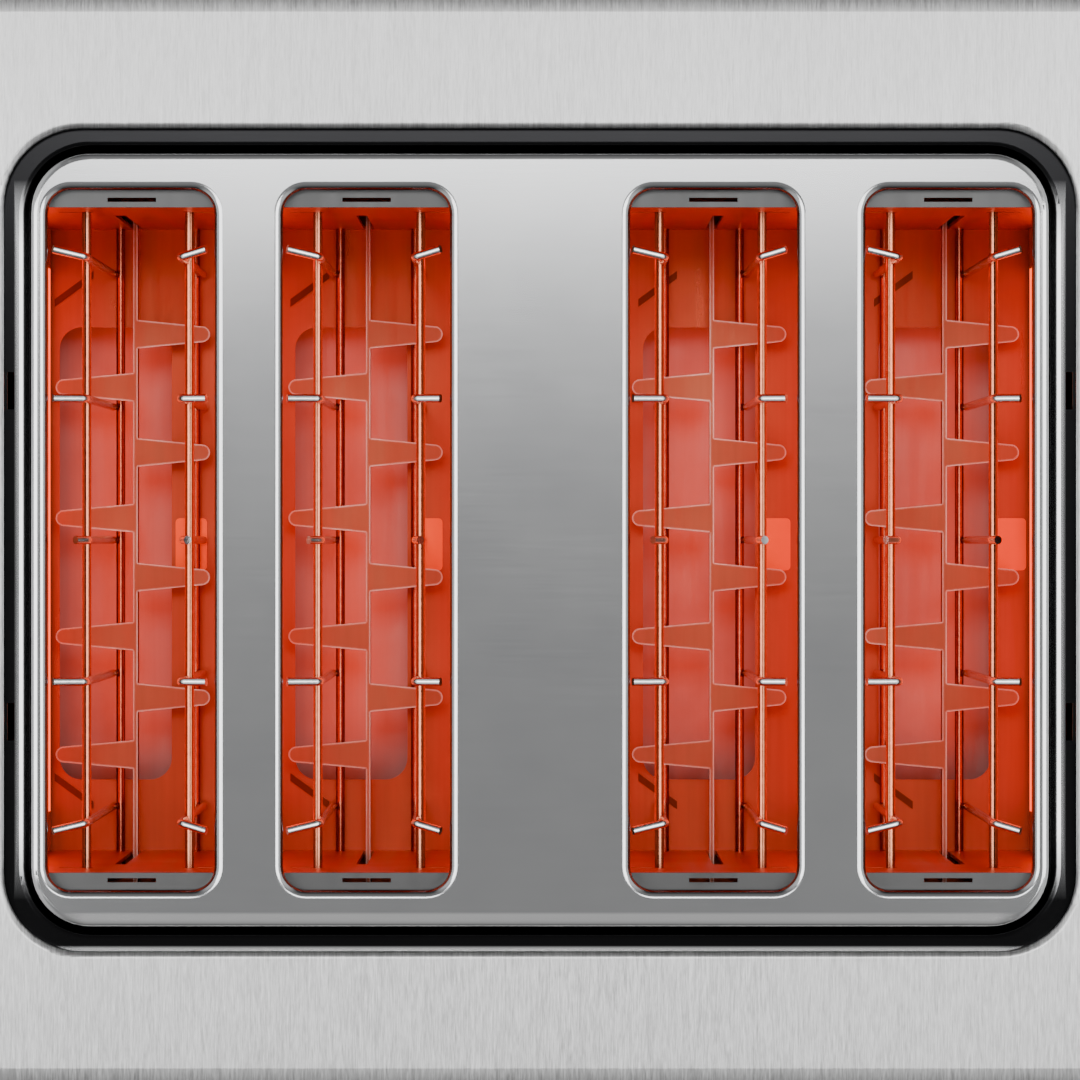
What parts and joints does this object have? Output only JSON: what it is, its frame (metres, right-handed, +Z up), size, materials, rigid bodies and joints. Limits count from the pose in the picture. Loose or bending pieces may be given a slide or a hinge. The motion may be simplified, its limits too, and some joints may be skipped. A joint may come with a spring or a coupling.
{
  "type": "pop up toaster",
  "caption": "Pop-up toaster with paired wide bread slots, sprung lift carriages, swinging wire bread guides, glowing ribbon heaters, browning dials and rear crumb trays.",
  "frame": {"origin": "under the centre of the whole toaster, on the worktop", "axes": "+X to the right as seen from the levers, +Y from the levers to the back, +Z up"},
  "size_m": [0.289, 0.283, 0.19],
  "materials": {
    "wrap_steel": "brushed satin",
    "plate_steel": "polished",
    "cap_plastic": "fine texture",
    "base_plastic": "moulded",
    "foot_rubber": "matt",
    "sheet_steel": "plated, dull",
    "shield_steel": "bright, heat-tinted",
    "mica": "flaky sheet",
    "ribbon": "glowing hot",
    "guide_wire": "bright plated wire",
    "rack_steel": "bright plated",
    "rod_steel": "ground",
    "spring_steel": "drawn wire",
    "knob_gloss": "gloss",
    "panel_gloss": "gloss",
    "dial_metal": "turned and brushed",
    "button_grey": "satin",
    "bezel_black": "satin",
    "magnet_coil": "enamelled winding",
    "keeper_steel": "ground",
    "board_resin": "solder resist",
    "gland_nylon": "moulded",
    "terminal_ceramic": "unglazed",
    "screw_steel": "plated",
    "tray_steel": "pressed"
  },
  "bodies": {
    "toaster": {"top_cover": "wrap_steel", "front_panel": "wrap_steel", "back_panel": "wrap_steel", "outer_reflectors": "shield_steel", "circuit_boards": "board_resin", "top_plate": "plate_steel", "base_pan": "base_plastic", "base_screws": "screw_steel", "rubber_feet": "foot_rubber", "front_bulkhead": "sheet_steel", "back_bulkhead": "sheet_steel", "chamber_floor": "sheet_steel", "centre_heat_shield": "shield_steel", "slide_rods": "rod_steel", "lever_bezels": "bezel_black", "control_panel": "panel_gloss", "cord_gland": "gland_nylon", "terminal_block": "terminal_ceramic", "heater_board_left_outer": "mica", "heater_board_left_middle": "mica", "heater_board_left_inner": "mica", "heater_board_right_inner": "mica", "heater_board_right_middle": "mica", "heater_board_right_outer": "mica", "end_cap_left": "cap_plastic", "heater_ribbons_left": "ribbon", "lift_spring_left": "spring_steel", "electromagnet_left": "magnet_coil", "end_cap_right": "cap_plastic", "heater_ribbons_right": "ribbon", "lift_spring_right": "spring_steel", "electromagnet_right": "magnet_coil"},
    "carriage_left": {"carriage_left": "sheet_steel", "armature_left": "keeper_steel", "lever_knob_left": "knob_gloss", "bread_rack_1": "rack_steel", "bread_rack_2": "rack_steel"},
    "carriage_right": {"carriage_right": "sheet_steel", "armature_right": "keeper_steel", "lever_knob_right": "knob_gloss", "bread_rack_3": "rack_steel", "bread_rack_4": "rack_steel"},
    "bread_guide_1_left": {"bread_guide_1_left": "guide_wire"},
    "bread_guide_1_right": {"bread_guide_1_right": "guide_wire"},
    "bread_guide_2_left": {"bread_guide_2_left": "guide_wire"},
    "bread_guide_2_right": {"bread_guide_2_right": "guide_wire"},
    "bread_guide_3_left": {"bread_guide_3_left": "guide_wire"},
    "bread_guide_3_right": {"bread_guide_3_right": "guide_wire"},
    "bread_guide_4_left": {"bread_guide_4_left": "guide_wire"},
    "bread_guide_4_right": {"bread_guide_4_right": "guide_wire"},
    "dial_left": {"dial_left": "dial_metal"},
    "button_cancel_left": {"button_cancel_left": "button_grey"},
    "button_bagel_left": {"button_bagel_left": "button_grey"},
    "button_defrost_left": {"button_defrost_left": "button_grey"},
    "crumb_tray_left": {"crumb_tray_left": "tray_steel"},
    "dial_right": {"dial_right": "dial_metal"},
    "button_cancel_right": {"button_cancel_right": "button_grey"},
    "button_bagel_right": {"button_bagel_right": "button_grey"},
    "button_defrost_right": {"button_defrost_right": "button_grey"},
    "crumb_tray_right": {"crumb_tray_right": "tray_steel"}
  },
  "joints": [
    {"name": "carriage_left_lift", "type": "slide", "parent": "toaster", "child": "carriage_left", "axis": [0, 0, 1], "range_m": [0, 0.075], "deforming": ["lift_spring_left"]},
    {"name": "carriage_right_lift", "type": "slide", "parent": "toaster", "child": "carriage_right", "axis": [0, 0, 1], "range_m": [0, 0.075], "deforming": ["lift_spring_right"]},
    {"name": "bread_guide_1_left_swing", "type": "hinge", "parent": "toaster", "child": "bread_guide_1_left", "pos_m": [-0.0962, 0.0075, 0.044], "axis": [0, 1, 0], "range_deg": [-2.6, 0]},
    {"name": "bread_guide_1_right_swing", "type": "hinge", "parent": "toaster", "child": "bread_guide_1_right", "pos_m": [-0.079, 0.0075, 0.044], "axis": [0, 1, 0], "range_deg": [0, 2.6]},
    {"name": "bread_guide_2_left_swing", "type": "hinge", "parent": "toaster", "child": "bread_guide_2_left", "pos_m": [-0.0458, 0.0075, 0.044], "axis": [0, 1, 0], "range_deg": [-2.6, 0]},
    {"name": "bread_guide_2_right_swing", "type": "hinge", "parent": "toaster", "child": "bread_guide_2_right", "pos_m": [-0.0286, 0.0075, 0.044], "axis": [0, 1, 0], "range_deg": [0, 2.6]},
    {"name": "bread_guide_3_left_swing", "type": "hinge", "parent": "toaster", "child": "bread_guide_3_left", "pos_m": [0.0286, 0.0075, 0.044], "axis": [0, 1, 0], "range_deg": [-2.6, 0]},
    {"name": "bread_guide_3_right_swing", "type": "hinge", "parent": "toaster", "child": "bread_guide_3_right", "pos_m": [0.0458, 0.0075, 0.044], "axis": [0, 1, 0], "range_deg": [0, 2.6]},
    {"name": "bread_guide_4_left_swing", "type": "hinge", "parent": "toaster", "child": "bread_guide_4_left", "pos_m": [0.079, 0.0075, 0.044], "axis": [0, 1, 0], "range_deg": [-2.6, 0]},
    {"name": "bread_guide_4_right_swing", "type": "hinge", "parent": "toaster", "child": "bread_guide_4_right", "pos_m": [0.0962, 0.0075, 0.044], "axis": [0, 1, 0], "range_deg": [0, 2.6]},
    {"name": "dial_left_turn", "type": "hinge", "parent": "toaster", "child": "dial_left", "pos_m": [-0.024, -0.1205, 0.062], "axis": [0, 1, 0], "range_deg": [-150, 150]},
    {"name": "button_cancel_left_press", "type": "slide", "parent": "toaster", "child": "button_cancel_left", "axis": [0, 1, 0], "range_m": [0, 0.002], "stiffness_N_per_m": 400, "springref_m": -0.001},
    {"name": "button_bagel_left_press", "type": "slide", "parent": "toaster", "child": "button_bagel_left", "axis": [0, 1, 0], "range_m": [0, 0.002], "stiffness_N_per_m": 400, "springref_m": -0.001},
    {"name": "button_defrost_left_press", "type": "slide", "parent": "toaster", "child": "button_defrost_left", "axis": [0, 1, 0], "range_m": [0, 0.002], "stiffness_N_per_m": 400, "springref_m": -0.001},
    {"name": "crumb_tray_left_slide", "type": "slide", "parent": "toaster", "child": "crumb_tray_left", "axis": [0, 1, 0], "range_m": [0, 0.185]},
    {"name": "dial_right_turn", "type": "hinge", "parent": "toaster", "child": "dial_right", "pos_m": [0.024, -0.1205, 0.062], "axis": [0, 1, 0], "range_deg": [-150, 150]},
    {"name": "button_cancel_right_press", "type": "slide", "parent": "toaster", "child": "button_cancel_right", "axis": [0, 1, 0], "range_m": [0, 0.002], "stiffness_N_per_m": 400, "springref_m": -0.001},
    {"name": "button_bagel_right_press", "type": "slide", "parent": "toaster", "child": "button_bagel_right", "axis": [0, 1, 0], "range_m": [0, 0.002], "stiffness_N_per_m": 400, "springref_m": -0.001},
    {"name": "button_defrost_right_press", "type": "slide", "parent": "toaster", "child": "button_defrost_right", "axis": [0, 1, 0], "range_m": [0, 0.002], "stiffness_N_per_m": 400, "springref_m": -0.001},
    {"name": "crumb_tray_right_slide", "type": "slide", "parent": "toaster", "child": "crumb_tray_right", "axis": [0, 1, 0], "range_m": [0, 0.185]}
  ],
  "couplings": [
    {"joint": "bread_guide_1_left_swing", "follows": "carriage_left_lift", "rad_per_m": -0.58178},
    {"joint": "bread_guide_1_right_swing", "follows": "carriage_left_lift", "rad_per_m": 0.58178},
    {"joint": "bread_guide_2_left_swing", "follows": "carriage_left_lift", "rad_per_m": -0.58178},
    {"joint": "bread_guide_2_right_swing", "follows": "carriage_left_lift", "rad_per_m": 0.58178},
    {"joint": "bread_guide_3_left_swing", "follows": "carriage_right_lift", "rad_per_m": -0.58178},
    {"joint": "bread_guide_3_right_swing", "follows": "carriage_right_lift", "rad_per_m": 0.58178},
    {"joint": "bread_guide_4_left_swing", "follows": "carriage_right_lift", "rad_per_m": -0.58178},
    {"joint": "bread_guide_4_right_swing", "follows": "carriage_right_lift", "rad_per_m": 0.58178}
  ]
}
